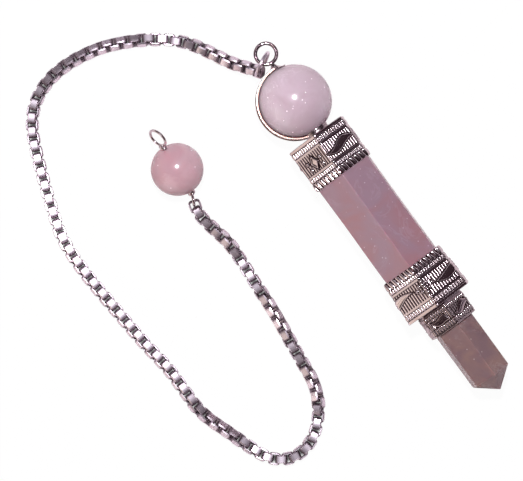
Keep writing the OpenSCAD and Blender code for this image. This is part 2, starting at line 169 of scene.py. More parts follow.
def roundEnds(length, radius):
    # places along a wire and its radius there, with half-round ends
    angle = np.linspace(0.12, np.pi / 2, wireForm["endSteps"])
    ends = radius * (1 - np.cos(angle)), radius * np.sin(angle)
    inside = np.linspace(radius, length - radius, wireForm["lengthSteps"])[1:-1]
    places = np.concatenate((ends[0], inside, length - ends[0][::-1]))
    return places, np.concatenate((ends[1], np.full(len(inside), radius), ends[1][::-1]))


def ringWire(radius, gauge, seam=0.0, count=96):
    # torus round the z axis; a seam is a fine notch where the wire's ends meet
    angle = np.linspace(0, 2 * np.pi, count, endpoint=False)
    path = radius * np.stack((np.cos(angle), np.sin(angle), np.zeros(count)), axis=-1)
    notch = 1 - seam * np.exp(-((angle - np.pi) / wireForm["seamWidth"]) ** 2)
    flat = 1 + wireForm["unround"] * np.sin(3 * angle + 0.6)
    return wireAlong(path, gauge / 2 * notch * flat, np.array((0, 0, 1.0)), ring=True)


def revolved(profile, count=96):
    # a profile of radius and height carried round the z axis
    angle = np.linspace(0, 2 * np.pi, count, endpoint=False)
    r, z = profile[:, 0][:, None], profile[:, 1][:, None]
    return np.stack((r * np.cos(angle), r * np.sin(angle), z + 0 * angle), axis=-1)


def addNode(tree, kind, **settings):
    node = tree.nodes.new("ShaderNode" + kind)
    for key, value in settings.items():
        setattr(node, key, value)
    return node


def feed(tree, socket, value):
    # links an output to the socket, or sets a plain value on it
    if isinstance(value, bpy.types.NodeSocket):
        tree.links.new(value, socket)
    else:
        socket.default_value = value


def wire(tree, node, **inputs):
    # feeds a node's inputs by name, with _ for a space
    for key, value in inputs.items():
        feed(tree, node.inputs[key.replace("_", " ")], value)


def feedAll(tree, node, *values):
    # feeds a node's inputs in their order and gives its first output
    for socket, value in zip(node.inputs, values):
        feed(tree, socket, value)
    return node.outputs[0]


def mathNode(tree, operation, *values):
    return feedAll(tree, addNode(tree, "Math", operation=operation), *values)


def rangeNode(tree, value, fromMin, fromMax, toMin=0.0, toMax=1.0):
    node = addNode(tree, "MapRange", interpolation_type="SMOOTHSTEP")
    wire(tree, node, Value=value, From_Min=fromMin, From_Max=fromMax, To_Min=toMin, To_Max=toMax)
    return node.outputs["Result"]


def mixColour(tree, factor, a, b):
    node = addNode(tree, "Mix", data_type="RGBA")
    socket = {s.identifier: s for s in node.inputs}
    feed(tree, socket["Factor_Float"], factor)
    for end, value in (("A_Color", a), ("B_Color", b)):
        feed(tree, socket[end], (*value, 1) if isinstance(value, tuple) else value)
    return next(s for s in node.outputs if s.identifier == "Result_Color")


def noiseNode(tree, vector, scale, detail=3.0, roughness=0.5, distortion=0.0):
    node = addNode(tree, "TexNoise")
    wire(tree, node, Vector=vector, Scale=scale, Detail=detail, Roughness=roughness,
         Distortion=distortion)
    return node.outputs["Fac"]


def bumpNode(tree, shader, height, strength, depth):
    node = addNode(tree, "Bump")
    wire(tree, node, Height=height, Strength=strength, Distance=depth)
    wire(tree, shader, Normal=node.outputs["Normal"])


def startMaterial(name):
    material = bpy.data.materials.new(name)
    material.use_nodes = True
    tree = material.node_tree
    shader = next(n for n in tree.nodes if n.type == "BSDF_PRINCIPLED")
    place = addNode(tree, "TexCoord").outputs["Object"]
    return material, tree, shader, place


def newGroup(name, inputs, outputs):
    # inputs and outputs are names with their socket kinds
    group = bpy.data.node_groups.new(name, "ShaderNodeTree")
    for way, sockets in (("INPUT", inputs), ("OUTPUT", outputs)):
        for label, kind in sockets:
            group.interface.new_socket(name=label, in_out=way, socket_type="NodeSocket" + kind)
    return group, group.nodes.new("NodeGroupInput"), group.nodes.new("NodeGroupOutput")


# what all the stones have inside, and their painted glints, by the noise value at which each thing fades
# in
inStone = {"cloudFades": (0.38, 0.68), "veilWidth": 0.035, "patchFades": (0.5, 0.62),
           "glintFades": (0.08, 0.22), "flockShare": 0.9, "rareFades": (1.30, 1.36)}


def makeQuartzGroup():
    # clouds and thin wavy veils inside a stone, and small painted glints on it, as masks from 0 to 1
    group, given, out = newGroup(
        "quartzInside",
        (("Place", "Vector"), ("Cloud Size", "Float"), ("Veil Size", "Float"), ("Glint Size", "Float")),
        (("Clouds", "Float"), ("Veils", "Float"), ("Sparkles", "Float")))
    place = given.outputs["Place"]
    clouds = noiseNode(group, place, given.outputs["Cloud Size"], detail=4.0, distortion=0.6)
    wire(group, out, Clouds=rangeNode(group, clouds, *inStone["cloudFades"]))
    veils = noiseNode(group, place, given.outputs["Veil Size"], detail=5.0, roughness=0.6,
                      distortion=1.8)
    ridge = mathNode(group, "ABSOLUTE", mathNode(group, "SUBTRACT", veils, 0.5))
    thin = rangeNode(group, ridge, 0.0, inStone["veilWidth"], 1.0, 0.0)
    patch = noiseNode(group, place, given.outputs["Cloud Size"], detail=1.0)
    patch = rangeNode(group, patch, *inStone["patchFades"])
    wire(group, out, Veils=mathNode(group, "MULTIPLY", thin, patch))
    cells = addNode(group, "TexVoronoi", feature="F1")
    wire(group, cells, Vector=place, Scale=given.outputs["Glint Size"])
    dots = rangeNode(group, cells.outputs["Distance"], *inStone["glintFades"], 1.0, 0.0)
    split = addNode(group, "SeparateColor")
    wire(group, split, Color=cells.outputs["Color"])
    flock = noiseNode(group, place, given.outputs["Veil Size"], detail=1.0)
    flock = mathNode(group, "MULTIPLY", flock, inStone["flockShare"])
    chance = mathNode(group, "ADD", split.outputs[0], flock)
    rare = rangeNode(group, chance, *inStone["rareFades"])
    wire(group, out, Sparkles=mathNode(group, "MULTIPLY", dots, rare))
    return group


# what all the metals share; the sizes are noise scales to the metre
wear = {"blotchSize": 420.0, "blotchShare": 0.35, "darkeningFades": (0.35, 1.05),
        "stainFades": (0.5, 0.75), "dentSize": 2600.0, "dentDepth": 0.00004}


def makeWearGroup():
    # dark where the recess attribute is high, broken up by noise, and fine dents: tarnish in the hollows
    # of the cast relief, painted shade at the chain's hooked ends
    group, given, out = newGroup(
        "castWear",
        (("Place", "Vector"), ("Recess", "Float")),
        (("Tarnish", "Float"), ("Stain", "Float"), ("Dents", "Float")))
    place = given.outputs["Place"]
    blotch = noiseNode(group, place, wear["blotchSize"], detail=3.0)
    broken = mathNode(group, "MULTIPLY", blotch, wear["blotchShare"])
    deep = mathNode(group, "ADD", given.outputs["Recess"], broken)
    wire(group, out, Tarnish=rangeNode(group, deep, *wear["darkeningFades"]),
         Stain=rangeNode(group, blotch, *wear["stainFades"]),
         Dents=noiseNode(group, place, wear["dentSize"], detail=2.0))
    return group


quartzInside = makeQuartzGroup()
castWear = makeWearGroup()


def makeMetal(name, look):
    # plated metal: bright where it stands out, stained in blotches, dark where the recess attribute is
    # high: tarnish in the relief's hollows, painted shade on the chain
    material, tree, shader, place = startMaterial(name)
    low = addNode(tree, "Attribute", attribute_name="recess")
    worn = addNode(tree, "Group", node_tree=castWear)
    wire(tree, worn, Place=place, Recess=low.outputs["Fac"])
    stained = mixColour(tree, mathNode(tree, "MULTIPLY", worn.outputs["Stain"], look["stainShare"]),
                        look["bright"], look["stain"])
    tarnishAndShade = worn.outputs["Tarnish"]
    # the dark mix is tarnish on the cast pieces and painted shade where the chain's links hook
    colour = mixColour(tree, tarnishAndShade, stained, look["deep"])
    rough = rangeNode(tree, tarnishAndShade, 0.0, 1.0, *look["roughness"])
    bumpNode(tree, shader, worn.outputs["Dents"], look["dents"], wear["dentDepth"])
    wire(tree, shader, Base_Color=colour, Roughness=rough, Metallic=look["metallic"])
    return material


# the face that all the stones share, with the glow colour of their painted glints
polish = {"roughness": 0.2, "ior": 1.54, "coat": 0.2, "coatRoughness": 0.05,
          "glint": (0.9, 0.86, 0.9), "waveSize": 180.0, "waves": 0.08, "waveDepth": 0.0003}


def makeQuartz(name, look):
    # milky translucent stone with a polished face; shares and sizes are those of its clouds, veils and
    # painted glints; the glints are white dots that glow
    material, tree, shader, place = startMaterial(name)
    spot = addNode(tree, "Mapping")
    wire(tree, spot, Vector=place, Location=look["shift"])
    inside = addNode(tree, "Group", node_tree=quartzInside)
    feedAll(tree, inside, spot.outputs[0], *look["sizes"])
    clouds, veils, paintedGlints = (mathNode(tree, "MULTIPLY", mask, share)
                               for mask, share in zip(inside.outputs, look["shares"]))
    clouded = mixColour(tree, clouds, look["body"], look["cloud"])
    veiled = mixColour(tree, veils, clouded, look["veil"])
    # painted glints: white dots in the base colour that also glow through the emission
    wire(tree, shader, Base_Color=mixColour(tree, paintedGlints, veiled, (1, 1, 1)),
         Roughness=polish["roughness"], IOR=polish["ior"],
         Transmission_Weight=look["clear"], Subsurface_Weight=look["milk"],
         Subsurface_Radius=look["milkReach"], Subsurface_Scale=look["milkDepth"],
         Coat_Weight=polish["coat"], Coat_Roughness=polish["coatRoughness"],
         Emission_Color=mixColour(tree, paintedGlints, (0, 0, 0), polish["glint"]), Emission_Strength=1.0)
    uneven = noiseNode(tree, place, polish["waveSize"], detail=1.0)
    bumpNode(tree, shader, uneven, polish["waves"], polish["waveDepth"])
    return material


castMetal = makeMetal("castMetal", {
    "bright": (0.76, 0.68, 0.71), "stain": (0.50, 0.38, 0.38), "stainShare": 0.5,
    "deep": (0.045, 0.021, 0.024), "roughness": (0.18, 0.34), "metallic": 1.0, "dents": 0.05})
wireMetal = makeMetal("wireMetal", {
    "bright": (0.26, 0.19, 0.22), "stain": (0.15, 0.09, 0.11), "stainShare": 0.8,
    "deep": (0.06, 0.04, 0.05), "roughness": (0.09, 0.3), "metallic": 1.0, "dents": 0.12})
narrowMetal = makeMetal("narrowMetal", {
    "bright": (0.64, 0.55, 0.57), "stain": (0.36, 0.25, 0.25), "stainShare": 0.7,
    "deep": (0.028, 0.012, 0.012), "roughness": (0.18, 0.34), "metallic": 1.0, "dents": 0.05})
strapMetal = makeMetal("strapMetal", {
    "bright": (0.80, 0.64, 0.60), "stain": (0.42, 0.25, 0.20), "stainShare": 0.8,
    "deep": (0.16, 0.085, 0.065), "roughness": (0.3, 0.4), "metallic": 1.0, "dents": 0.6})
# on the chain the deep colour is painted shade, laid where the links hook into each other
chainMetal = makeMetal("chainMetal", {
    "bright": (0.90, 0.83, 0.92), "stain": (0.70, 0.60, 0.67), "stainShare": 0.7,
    "deep": (0.27, 0.215, 0.255), "roughness": (0.32, 0.40), "metallic": 0.93, "dents": 0.1})
print("made the metals")

paleQuartz = makeQuartz("paleQuartz", {
    "body": (0.56, 0.45, 0.50), "cloud": (0.66, 0.56, 0.62), "veil": (0.86, 0.78, 0.84),
    "shares": (0.8, 0.3, 1.0), "sizes": (130.0, 220.0, 1700.0), "shift": (0, 0, 0),
    "clear": 0.0, "milk": 0.9, "milkReach": (1.0, 0.85, 0.95), "milkDepth": 0.006})
roseQuartz = makeQuartz("roseQuartz", {
    "body": (0.385, 0.212, 0.240), "cloud": (0.35, 0.245, 0.30), "veil": (0.50, 0.40, 0.46),
    "shares": (0.9, 0.22, 0.2), "sizes": (110.0, 110.0, 1500.0), "shift": (0.01, 0.02, 0),
    "clear": 0.05, "milk": 0.6, "milkReach": (1.0, 0.6, 0.7), "milkDepth": 0.002})
tipQuartz = makeQuartz("tipQuartz", {
    "body": (0.235, 0.155, 0.165), "cloud": (0.31, 0.20, 0.175), "veil": (0.48, 0.42, 0.44),
    "shares": (0.8, 0.2, 0.2), "sizes": (170.0, 140.0, 1500.0), "shift": (0.03, 0, 0.01),
    "clear": 0.05, "milk": 0.6, "milkReach": (1.0, 0.7, 0.7), "milkDepth": 0.002})
beadQuartz = makeQuartz("beadQuartz", {
    "body": (0.57, 0.37, 0.41), "cloud": (0.68, 0.49, 0.53), "veil": (0.74, 0.60, 0.66),
    "shares": (0.8, 0.3, 0.4), "sizes": (150.0, 260.0, 1300.0), "shift": (0, 0.02, 0),
    "clear": 0.0, "milk": 0.8, "milkReach": (1.0, 0.6, 0.65), "milkDepth": 0.002})
print("made the stones")

# cast relief of the three bands: five heights, then lengths in millimetres and shares
relief = {"rib": 0.15, "line": 0.12, "fieldRib": 0.09, "leaf": 0.30, "lobe": 0.24,
          "leafLength": 7.2, "leafWidth": 1.7, "leafSway": 0.4, "leafSkew": 1.25,
          "leafRound": 0.7, "leafMargin": (0.26, 0.06), "vein": (0.16, 0.07),
          "budRadius": 0.35, "budMargin": (1.55, 1.05), "diamondWidth": 1.8,
          "diamondHeight": 2.8, "diamondEdge": (1.06, 0.94), "diamondLevels": (0.55, 0.45),
          "diamondFades": (0.55, 0.72), "diamondMargin": (1.5, 1.15), "lobeSlant": 0.42,
          "lobeShare": (0.30, 0.13), "lobeSpan": (0.47, 0.5), "lobeRound": 0.6,
          "ribEnds": 0.16, "ribFades": 0.9, "rimFades": 0.2, "fieldFades": (0.1, 0.05),
          "step": 0.07, "ribSteps": 8}

# the strip's edges, its way into the bore and where the tarnish fades, in millimetres
stripForm = {"edgeRound": 0.12, "edgeDrop": 0.06, "darkeningFades": (0.015, 0.085),
             "boreCorner": 0.3, "boreBevel": 0.1, "backShare": 0.97}

# rows from the rope edge: kind and share of the band's height
wideRows = (("lobes", 0.18), ("ribs", 0.10), ("line", 0.05), ("field", 0.42), ("line", 0.05),
            ("ribs", 0.13), ("rim", 0.07))
narrowRows = (("line", 0.08), ("ribs", 0.25), ("field", 0.42), ("ribs", 0.17), ("line", 0.08))

# motifs: kind, place round the band in face widths from the upper corner, share of the
# height from the rope edge, tilt, share of the leaf's length; they repeat every two faces
upperBand = {
    "af": 11.76, "height": 8.95, "flare": 0.0, "corner": 0.45, "ribs": 72, "lobes": 38,
    "rows": wideRows, "turn": 5.0, "shift": 0.0, "openAt": 16.4, "flipped": False,
    "bore": 11.4, "plate": 0.7,
    "motifs": (("leaf", 0.47, 0.53, 4, 1), ("diamond", -0.5, 0.53, 0, 1)),
}
middleBand = {
    "af": 12.3, "height": 8.9, "flare": 0.5, "corner": 0.5, "ribs": 72, "lobes": 40,
    "rows": wideRows, "turn": 5.0, "shift": 0.0, "openAt": 37.9, "flipped": True,
    "bore": 11.4, "plate": 0.7,
    "motifs": (("leaf", 1, 0.52, 5, 1.3), ("flower", 0, 0.51, 0, 1)),
}
narrowBand = {
    "af": 9.0, "height": 4.6, "flare": 0.0, "corner": 0.4, "ribs": 54, "lobes": 0,
    "rows": narrowRows, "turn": -8.0, "shift": -0.2, "openAt": 51.8, "flipped": False,
    "bore": 7.6, "plate": 0.0,
    "motifs": (("leaf", 0.55, 0.5, 6, 0.66), ("leaf", -0.5, 0.5, -20, 0.6)),
}
diamondBuds = ((-2.3, 0.6), (2.3, 0.5), (-2.1, -1.4), (2.1, -1.5))
flowerBuds = ((0.06, 0), (1.25, 0.9), (-1.25, 0.9), (1.3, -0.8), (-1.3, -0.8), (-0.05, 1.7),
              (0.05, -1.7), (2.7, 0.1), (-2.7, 0.1))


def dome(share):
    # height of a round dome by the share of its radius, 0 outside it
    return np.sqrt(np.clip(1 - share ** 2, 0, 1))


def leafForm(x, y, length, width):
    # lens bent in a slow S: half its width is a skewed sine of the place along it; gives the
    # height from 0 to 1 and the margin that is cleared round it
    t = x / length + 0.5
    inside = np.clip(t, 0, 1)
    middle = -relief["leafSway"] * np.sin(2 * np.pi * inside)
    half = width / 2 * np.sin(np.pi * inside ** relief["leafSkew"])
    off = np.abs(y - middle)
    ends = (t > 0) & (t < 1)
    share = off / np.maximum(half, 0.02)
    vein = relief["vein"][0] * np.exp(-(off / relief["vein"][1]) ** 2) * (half > 0.25)
    height = np.where(ends, dome(share) ** relief["leafRound"] - vein, 0)
    margin = np.where(ends, smoothStep(*relief["leafMargin"], off - half), 0)
    return np.clip(height, 0, 1), margin


def diamondForm(x, y):
    # lozenge: the shares of x and y add up to 1 on its edge, a raised border round a low middle
    share = np.abs(x) / (relief["diamondWidth"] / 2) + np.abs(y) / (relief["diamondHeight"] / 2)
    low, rise = relief["diamondLevels"]
    level = low + rise * smoothStep(*relief["diamondFades"], share)
    border = smoothStep(*relief["diamondEdge"], share) * level
    return border, smoothStep(*relief["diamondMargin"], share)


def budForm(x, y):
    # round bud: half a sphere on its circle
    share = np.hypot(x, y) / relief["budRadius"]
    return dome(share), smoothStep(*relief["budMargin"], share)


def bandHeight(x, y, band, around):
    # height of the cast relief at x mm round the band and y mm from its rope edge: each row
    # is a wave or a dome of x and y, and the motifs stand on ground cleared of the rows
    height = np.zeros_like(x)
    start = 0.0
    fades = relief["ribFades"]
    for kind, share in band["rows"]:
        size = share * band["height"]
        t = (y - start) / size
        inside = (t >= 0) & (t < 1)
        ends = smoothStep(0, relief["ribEnds"], t) * smoothStep(0, relief["ribEnds"], 1 - t)
        wave = np.abs(np.sin(np.pi * x / around * band["ribs"]))
        if kind == "rim":
            form = relief["rib"] * smoothStep(0, relief["rimFades"], t)
        elif kind == "line":
            form = relief["line"] * dome(2 * t - 1)
        elif kind == "ribs":
            form = relief["rib"] * smoothStep(0, fades, wave) * ends
        elif kind == "lobes":
            pitch = around / band["lobes"]
            slanted = x + relief["lobeSlant"] * (t - 0.5) * pitch
            place = (slanted / pitch) % 1 - 0.5
            narrow, swell = relief["lobeShare"]
            bulge = narrow + swell * smoothStep(0, fades, t)
            middle, half = relief["lobeSpan"]
            tall = dome((t - middle) / half) ** relief["lobeRound"]
            form = relief["lobe"] * dome(place / bulge) * tall
        else:
            low, rise = relief["fieldFades"]
            form = relief["fieldRib"] * smoothStep(low, fades, wave) * smoothStep(0, rise, t)
        height = np.where(inside, form, height)
        start += size
    motifs = [(kind, place + step, *form) for step in (0, 2, -2) for kind, place, *form in band["motifs"]]
    for kind, place, share, tilt, size in motifs:
        dx = (x - place * around / 6 + around / 2) % around - around / 2
        dy = y - share * band["height"]
        c, s = math.cos(math.radians(tilt)), math.sin(math.radians(tilt))
        dx, dy = c * dx + s * dy, c * dy - s * dx
        if kind == "leaf":
            forms = [leafForm(dx, dy, relief["leafLength"] * size, relief["leafWidth"])]
        else:
            buds = diamondBuds if kind == "diamond" else flowerBuds
            step = 2 * relief["budRadius"]
            forms = [budForm(dx - bx * step, dy - by * step) for bx, by in buds]
            if kind == "diamond":
                forms.append(diamondForm(dx, dy))
        for form, margin in forms:
            height = np.maximum(height * (1 - margin), relief["leaf"] * form)
    return height


def hexagonLoop(places, z, af, corner, out=0):
    # points round a hexagon with rounded corners, moved outwards by out: place in face
    # widths from the corner at -x; a corner is an arc of 30 degrees to each side
    side = np.floor(places)
    width = af / math.sqrt(3)
    x = (places - side - 0.5) * width
    bend = corner * math.tan(math.radians(30))
    angle = np.radians(30) * np.clip((np.abs(x) - width / 2 + bend) / bend, 0, 1)
    along = np.where(angle > 0, np.sign(x) * (width / 2 - bend + corner * np.sin(angle)), x)
    up = af / 2 - corner + corner * np.cos(angle)
    tilt = np.sign(x) * angle
    face = np.radians(150 - 60 * side)
    along, up = along + out * np.sin(tilt), up + out * np.cos(tilt)
    x, y = np.cos(face) * up + np.sin(face) * along, np.sin(face) * up - np.cos(face) * along
    return np.stack((x, y, z + 0 * x), axis=-1)


def makeBand(name, band, nodes, metal):
    # cast strip bent round a hexagon: the relief stands out of the wall along its outward
    # way; the wall turns in at both edges, runs down the bore and closes at the plate
    around = 6 * band["af"] / math.sqrt(3)
    cols = band["ribs"] * relief["ribSteps"]
    rows = int(band["height"] / relief["step"])
    places = np.arange(cols) * 6 / cols
    y = np.linspace(0, band["height"], rows)
    x = places[None] * around / 6 + 0 * y[:, None]
    out = bandHeight(x, y[:, None] + 0 * x, band, around)
    edge = smoothStep(0, stripForm["edgeRound"], y)
    edge = edge * smoothStep(0, stripForm["edgeRound"], band["height"] - y)
    recess = 1 - smoothStep(*stripForm["darkeningFades"], out)
    out = out - stripForm["edgeDrop"] * (1 - edge[:, None])
    af = band["af"] + 2 * band["flare"] * y[:, None] / band["height"]
    body = hexagonLoop(places[None] + 0 * out, y[:, None], af, band["corner"], out)
    bore, corner = band["bore"], stripForm["boreCorner"]
    rim = hexagonLoop(places, 0, bore + stripForm["boreBevel"], corner)
    wall = hexagonLoop(places, stripForm["edgeDrop"], bore, corner)
    floor = hexagonLoop(places, band["height"] - band["plate"], bore, corner)
    back = body[-1:] * np.array((stripForm["backShare"], stripForm["backShare"], 1))
    points = np.concatenate((floor[None], wall[None], rim[None], body, back))
    dark = np.concatenate((np.full((2, cols), 1.0), np.full((1, cols), 0.5), recess,
                           np.full((1, cols), 0.2)))
    mirror = (1, -1, 1) if band["flipped"] else (1, 1, -1)
    points = points * np.array(mirror) + np.array((0, 0, band["openAt"]))
    points = points @ turn("z", band["turn"]).T + np.array((0, band["shift"], 0))
    makePiece(name, [closedSurface(onAxis(points), recess=dark)], metal, nodes, crease=80)


makeBand("upperBand", upperBand, ["upper_cap"], castMetal)
makeBand("middleBand", middleBand, ["lower_cap"], castMetal)
makeBand("narrowBand", narrowBand, ["lower_cap"], narrowMetal)

# plain step between the two bands of the lower cap
stepRing = {"af": 9.0, "from": 46.7, "to": 47.3, "round": 0.06, "inset": 0.3, "corner": 0.4}


def makeStep():
    # low six-sided collar with softened edges, closed across both ends
    places = np.arange(240) * 6 / 240
    levels = np.array((0.0, 0.0, 0.3, 0.7, 1.0, 1.0))
    soft, inset = stepRing["round"], stepRing["inset"]
    shrink = np.array((inset, soft, 0.0, 0.0, soft, inset))
    z = (stepRing["from"] + levels * (stepRing["to"] - stepRing["from"]))[:, None]
    af = stepRing["af"] - 2 * shrink[:, None]
    points = hexagonLoop(places[None] + 0 * z, z, af, stepRing["corner"])
    points = points @ turn("z", pendulum["tipTurn"]).T + np.array((0, -pendulum["tipOffset"], 0))
    part = closedSurface(onAxis(points), recess=np.full(points.shape[:2], 0.35))
    makePiece("bandStep", [part], castMetal, ["lower_cap"], crease=50)


makeStep()
print("made the cast bands")

# the hanger on the ball: its strap, foot, eye and seat
hanger = {
    "strapTurn": 4.0, "strapStart": 5.0, "strapThick": 0.25, "strapWidth": 3.0,
    "edgeWire": 0.26, "grainPitch": 0.3, "grainDepth": 0.38, "edgeLift": 1.15,
    "lean": 4.7, "eyeRadius": 2.0, "eyeWire": 0.7, "eyeAt": -10.5,
    "footHeight": 1.45, "footRadius": 2.0, "seatRadius": 2.5, "seatTop": 0.43,
    "wireSteps": 9, "backSteps": 7, "flatShares": (0.9, 0.95, 0.9), "endTaper": (0.05, 0.35),
    "backDark": 0.9, "flatDark": 0.6, "wireDark": 0.25, "grainDark": 1.8,
}


def onHanger(points):
    # leaned about the ball's middle, then onto the pendulum's axis
    leaned = points @ turn("x", hanger["lean"]).T + np.array((0, pendulum["ballOffset"], 0))
    return onAxis(leaned)


def overBall(radius, lift=0.0):
    # height over the ball's middle of the metal that lies on it, by the circle's rule
    return np.sqrt((pendulum["ballRadius"] + pendulum["stoneGap"] + lift) ** 2 - radius ** 2)


def makeStrap():
    # flat strip with a beaded wire along each edge, carried round the ball: the section is
    # a closed loop of across and out, and the edge wires swell and shrink along the arc
    inner = pendulum["ballRadius"] + pendulum["stoneGap"]
    steps, back = hanger["wireSteps"], hanger["backSteps"]
    arc = math.radians(180 - hanger["strapStart"])
    count = int(arc * inner / hanger["grainPitch"]) * 6
    along = np.linspace(0, arc, count)
    half, thick, edge = hanger["strapWidth"] / 2, hanger["strapThick"], hanger["edgeWire"] / 2
    wave = np.abs(np.sin(np.pi * along * inner / hanger["grainPitch"]))
    grain = 1 - hanger["grainDepth"] + hanger["grainDepth"] * wave
    bend = np.radians(np.linspace(180, 0, steps))
    across = np.concatenate((-half + edge + edge * np.cos(bend), half - edge + edge * np.cos(bend)))
    lift = np.concatenate((edge * np.sin(bend), edge * np.sin(bend)))
    out = thick + lift[None] * grain[:, None] * hanger["edgeLift"]
    middle = np.broadcast_to(thick * np.array(hanger["flatShares"]), (count, 3))
    outer = np.concatenate((out[:, :steps], middle, out[:, steps:]), axis=1)
    flat = (-half / 2, 0, half / 2)
    w = np.concatenate((across[:steps], flat, across[steps:], np.linspace(half, -half, back)))
    r = inner + np.concatenate((outer, np.zeros((count, back))), axis=1)
    reach, first = hanger["endTaper"]
    taper = np.minimum(1, np.minimum(along, arc - along) / reach + first)[:, None]
    w = w[None] * (0.9 + 0.1 * taper)  # narrower at the ends
    points = np.stack((r * np.cos(along)[:, None], r * np.sin(along)[:, None], w), axis=-1)
    # dark beside the edge wires and between their grains, less so on the flat middle
    low = np.full(r.shape, hanger["backDark"])
    low[:, steps:steps + 3] = hanger["flatDark"]
    grainDark = hanger["wireDark"] + (1 - grain[:, None]) * hanger["grainDark"]
    low[:, :steps - 1] = low[:, steps + 4:2 * steps + 3] = grainDark
    points = points @ turn("z", hanger["strapStart"]).T @ turn("y", -90).T
    points = points @ turn("z", 180 - hanger["strapTurn"]).T
    makePiece("ballStrap", [closedSurface(onHanger(points), recess=low)], strapMetal,
              ["upper_cap"], crease=60)


def makeFoot():
    # revolved cup: narrow at the eye, a quarter round flare, wide and dished on the ball
    neck = hanger["eyeWire"] / 2
    flare = hanger["footRadius"] - neck
    top = -overBall(0.0) - hanger["footHeight"]
    angle = np.radians(np.linspace(0, 90, 14))
    outR = neck + flare * (1 - np.cos(angle))
    outZ = top + (hanger["footHeight"] - 0.05) * np.sin(angle)
    outZ = outZ + (overBall(0.0) - overBall(outR))
    rimR = np.array((hanger["footRadius"] + 0.06, hanger["footRadius"] + 0.02))
    rimZ = -overBall(rimR, np.array((0.16, 0.02)))
    inR = np.linspace(hanger["footRadius"] - 0.1, 0.05, 12)
    inZ = -overBall(inR, 0.01)
    profile = np.stack((np.concatenate((outR, rimR, inR)), np.concatenate((outZ, rimZ, inZ))), axis=-1)
    profile = np.concatenate((((neck * 0.5, top - 0.1),), profile))
    points = onHanger(revolved(profile, 72))
    dark = np.concatenate((np.linspace(0.5, 0.15, 15), (0.0, 0.6), np.full(12, 0.8)))
    makePiece("flaredFoot", [closedSurface(points, recess=np.repeat(dark[:, None], 72, axis=1))],
              castMetal, ["upper_cap"], crease=60)


def makeEye():
    # torus of round wire standing on the foot
    ring = ringWire(hanger["eyeRadius"], hanger["eyeWire"]) @ turn("y", 90).T
    ring = ring + np.array((0, 0, hanger["eyeAt"]))
    makePiece("eyeRing", [closedSurface(onHanger(ring), ring=True)], wireMetal,
              ["upper_cap"])


def makeSeat():
    # short round collar between the ball and the plate, dished to the ball
    r = hanger["seatRadius"]
    z = overBall(0.0) + hanger["seatTop"]
    dished = overBall(r)
    inR = np.linspace(0.05, r - 0.08, 12)
    profile = np.concatenate((
        np.stack((inR, overBall(inR, 0.01)), axis=-1),
        ((r - 0.02, dished - 0.02), (r + 0.02, dished + 0.08), (r - 0.1, dished + 0.3),
         (r - 0.1, z - 0.15), (r, z), (0.5, z))))
    points = revolved(profile, 72) + np.array((0, pendulum["ballOffset"], 0))
    recess = np.full(points.shape[:2], 0.5)
    makePiece("ballSeat", [closedSurface(onAxis(points), recess=recess)], castMetal,
              ["upper_cap"], crease=60)


makeStrap()
makeFoot()
makeEye()
makeSeat()
print("made the hanger")

jumpRing = {"at": (-0.5, 34.9), "radius": 2.4, "wire": 0.65, "heading": -117.0, "lean": 6.0,
            "gap": 0.1, "seam": 0.35}


def makeJumpRing():
    # torus of round wire through the eye, its cut ends meeting in a fine seam
    eyeHeight = pendulum["ballRadius"] + hanger["eyeAt"] * math.sin(math.radians(pendulum["lean"]))
    height = eyeHeight + (hanger["eyeWire"] + jumpRing["wire"]) / 2 + jumpRing["gap"] - jumpRing["radius"]
    ring = ringWire(jumpRing["radius"], jumpRing["wire"], seam=jumpRing["seam"])
    ring = ring @ turn("x", 90 + jumpRing["lean"]).T @ turn("z", jumpRing["heading"]).T
    ring = ring + np.array((*jumpRing["at"], height))
    makePiece("jumpRing", [closedSurface(ring, ring=True)], chainMetal, ["jump_ring"])


makeJumpRing()

# the stones of the pendulum: ends and widths along the axis; a ripple is its height, size
# and seed
stones = {"crystalAf": 11.3, "crystalSpan": (8.2, 46.05), "tipAf": 7.5,
          "tipFrom": 47.25, "shoulder": 63.5, "shoulderSoft": 0.12, "point": 3.2,
          "coneShare": (0.02, 0.965), "edge": 0.16, "crystalRipple": (0.05, 3.0, 2),
          "tipRipple": (0.03, 2.4, 5), "ballRipple": (0.0015, 2.2, 1)}


def makeBall():
    # sphere: a half circle carried round, its radius slightly uneven as its polish is
    angle = np.linspace(0.02, np.pi - 0.02, 96)
    r = pendulum["ballRadius"]
    points = revolved(np.stack((r * np.sin(angle), -r * np.cos(angle)), axis=-1), 160)
    share, size, seed = stones["ballRipple"]
    points = points * (1 - share * (1 + ripple(points, size, seed)))[..., None]
    points = points + np.array((0, pendulum["ballOffset"], 0))
    makePiece("quartzBall", [closedSurface(onAxis(points))], paleQuartz, ["ball"],
              crease=60)


def groundFaces(count, z, af, edge, high, size, seed):
    # a hexagon loop for each height in z, whose faces lie a little in and out by slow ripples
    places = np.arange(count) * 6 / count
    spots = np.stack((places + 0 * z, z + 0 * places, 0 * z * places), -1)
    out = high * (ripple(spots, size, seed) - 1)
    return hexagonLoop(places[None] + 0 * z, z, af, edge, out)


def makeMainCrystal():
    # six-sided bar with ground edges, the same hexagon from end to end
    z = np.linspace(*stones["crystalSpan"], 90)[:, None]
    points = groundFaces(360, z, stones["crystalAf"], stones["edge"], *stones["crystalRipple"])
    points = points @ turn("z", pendulum["crystalTurn"]).T
    makePiece("mainCrystal", [closedSurface(onAxis(points))], roseQuartz,
              ["main_crystal"], crease=50)


